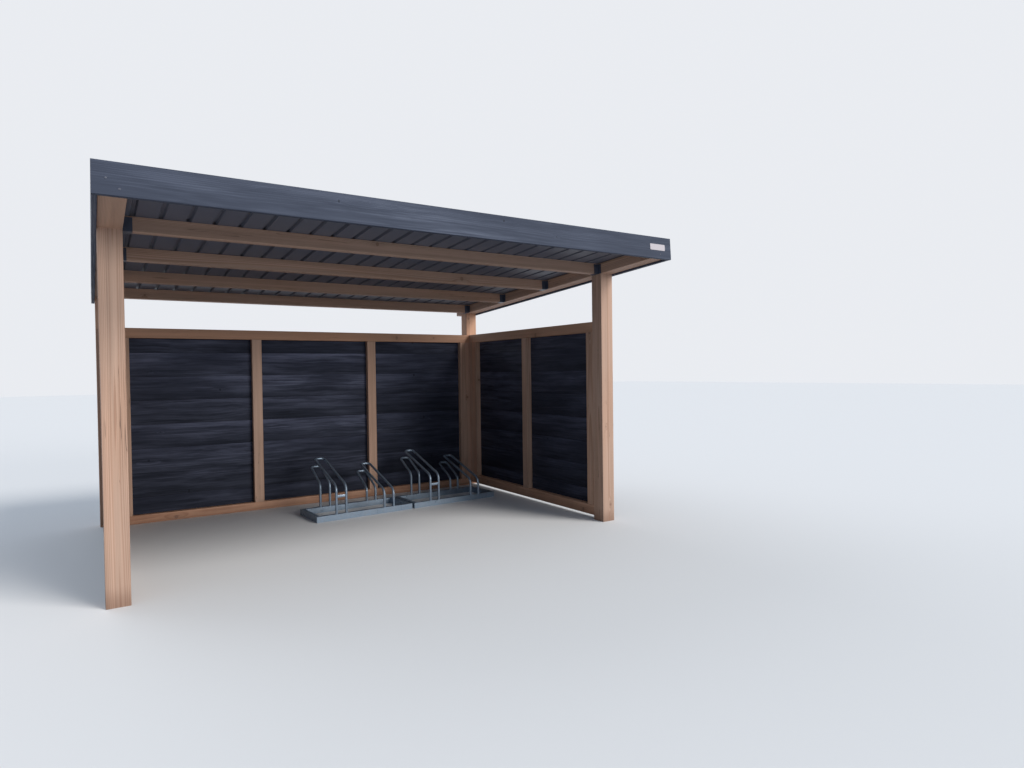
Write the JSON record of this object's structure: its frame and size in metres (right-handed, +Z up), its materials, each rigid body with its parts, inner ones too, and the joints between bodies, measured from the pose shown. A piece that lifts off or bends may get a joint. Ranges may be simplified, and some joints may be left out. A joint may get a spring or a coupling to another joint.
{
  "type": "open-front bike shelter",
  "caption": "Open-fronted timber bike shelter with boarded back and side walls, a single-pitch ribbed steel roof and floor racks.",
  "frame": {"origin": "middle of the shelter's footprint, roof overhangs included, on the ground", "axes": "+X to the right along the open front, +Y from the front to the back wall, +Z up"},
  "size_m": [3.05, 2.6748, 1.8609],
  "materials": {
    "planed_timber": "planed softwood, oiled by weather",
    "black_boards": "black stained boards, matt",
    "fascia_board": "black stained board, weathered to blue grey",
    "roof_steel": "dark coated steel sheet, satin",
    "hanger_steel": "black coated steel",
    "galvanised_steel": "hot-dip galvanised, dull"
  },
  "bodies": {
    "root": {"back_bottom_rail": "planed_timber", "back_cladding": "black_boards", "back_corner_stud_left": "planed_timber", "back_corner_stud_right": "planed_timber", "back_stud_left": "planed_timber", "back_stud_right": "planed_timber", "back_top_rail": "planed_timber", "fascia_front": "fascia_board", "fascia_left": "fascia_board", "fascia_right": "fascia_board", "joist_hangers_left": "hanger_steel", "joist_hangers_right": "hanger_steel", "left_bottom_rail": "planed_timber", "left_cladding": "black_boards", "left_corner_stud": "planed_timber", "left_front_stud": "planed_timber", "left_middle_stud": "planed_timber", "left_rear_stud": "planed_timber", "left_top_rail": "planed_timber", "post_front_left": "planed_timber", "post_front_right": "planed_timber", "post_rear_left": "planed_timber", "post_rear_right": "planed_timber", "purlin_1": "planed_timber", "purlin_2": "planed_timber", "purlin_3": "planed_timber", "purlin_4": "planed_timber", "rack_middle_base": "galvanised_steel", "rack_middle_front_hoops": "galvanised_steel", "rack_middle_rear_hoops": "galvanised_steel", "rack_right_base": "galvanised_steel", "rack_right_front_hoops": "galvanised_steel", "rack_right_rear_hoops": "galvanised_steel", "right_bottom_rail": "planed_timber", "right_cladding": "black_boards", "right_corner_stud": "planed_timber", "right_front_stud": "planed_timber", "right_middle_stud": "planed_timber", "right_rear_stud": "planed_timber", "right_top_rail": "planed_timber", "roof_sheet_left": "roof_steel", "roof_sheet_middle": "roof_steel", "roof_sheet_right": "roof_steel", "side_beam_left": "planed_timber", "side_beam_right": "planed_timber"}
  },
  "joints": []
}
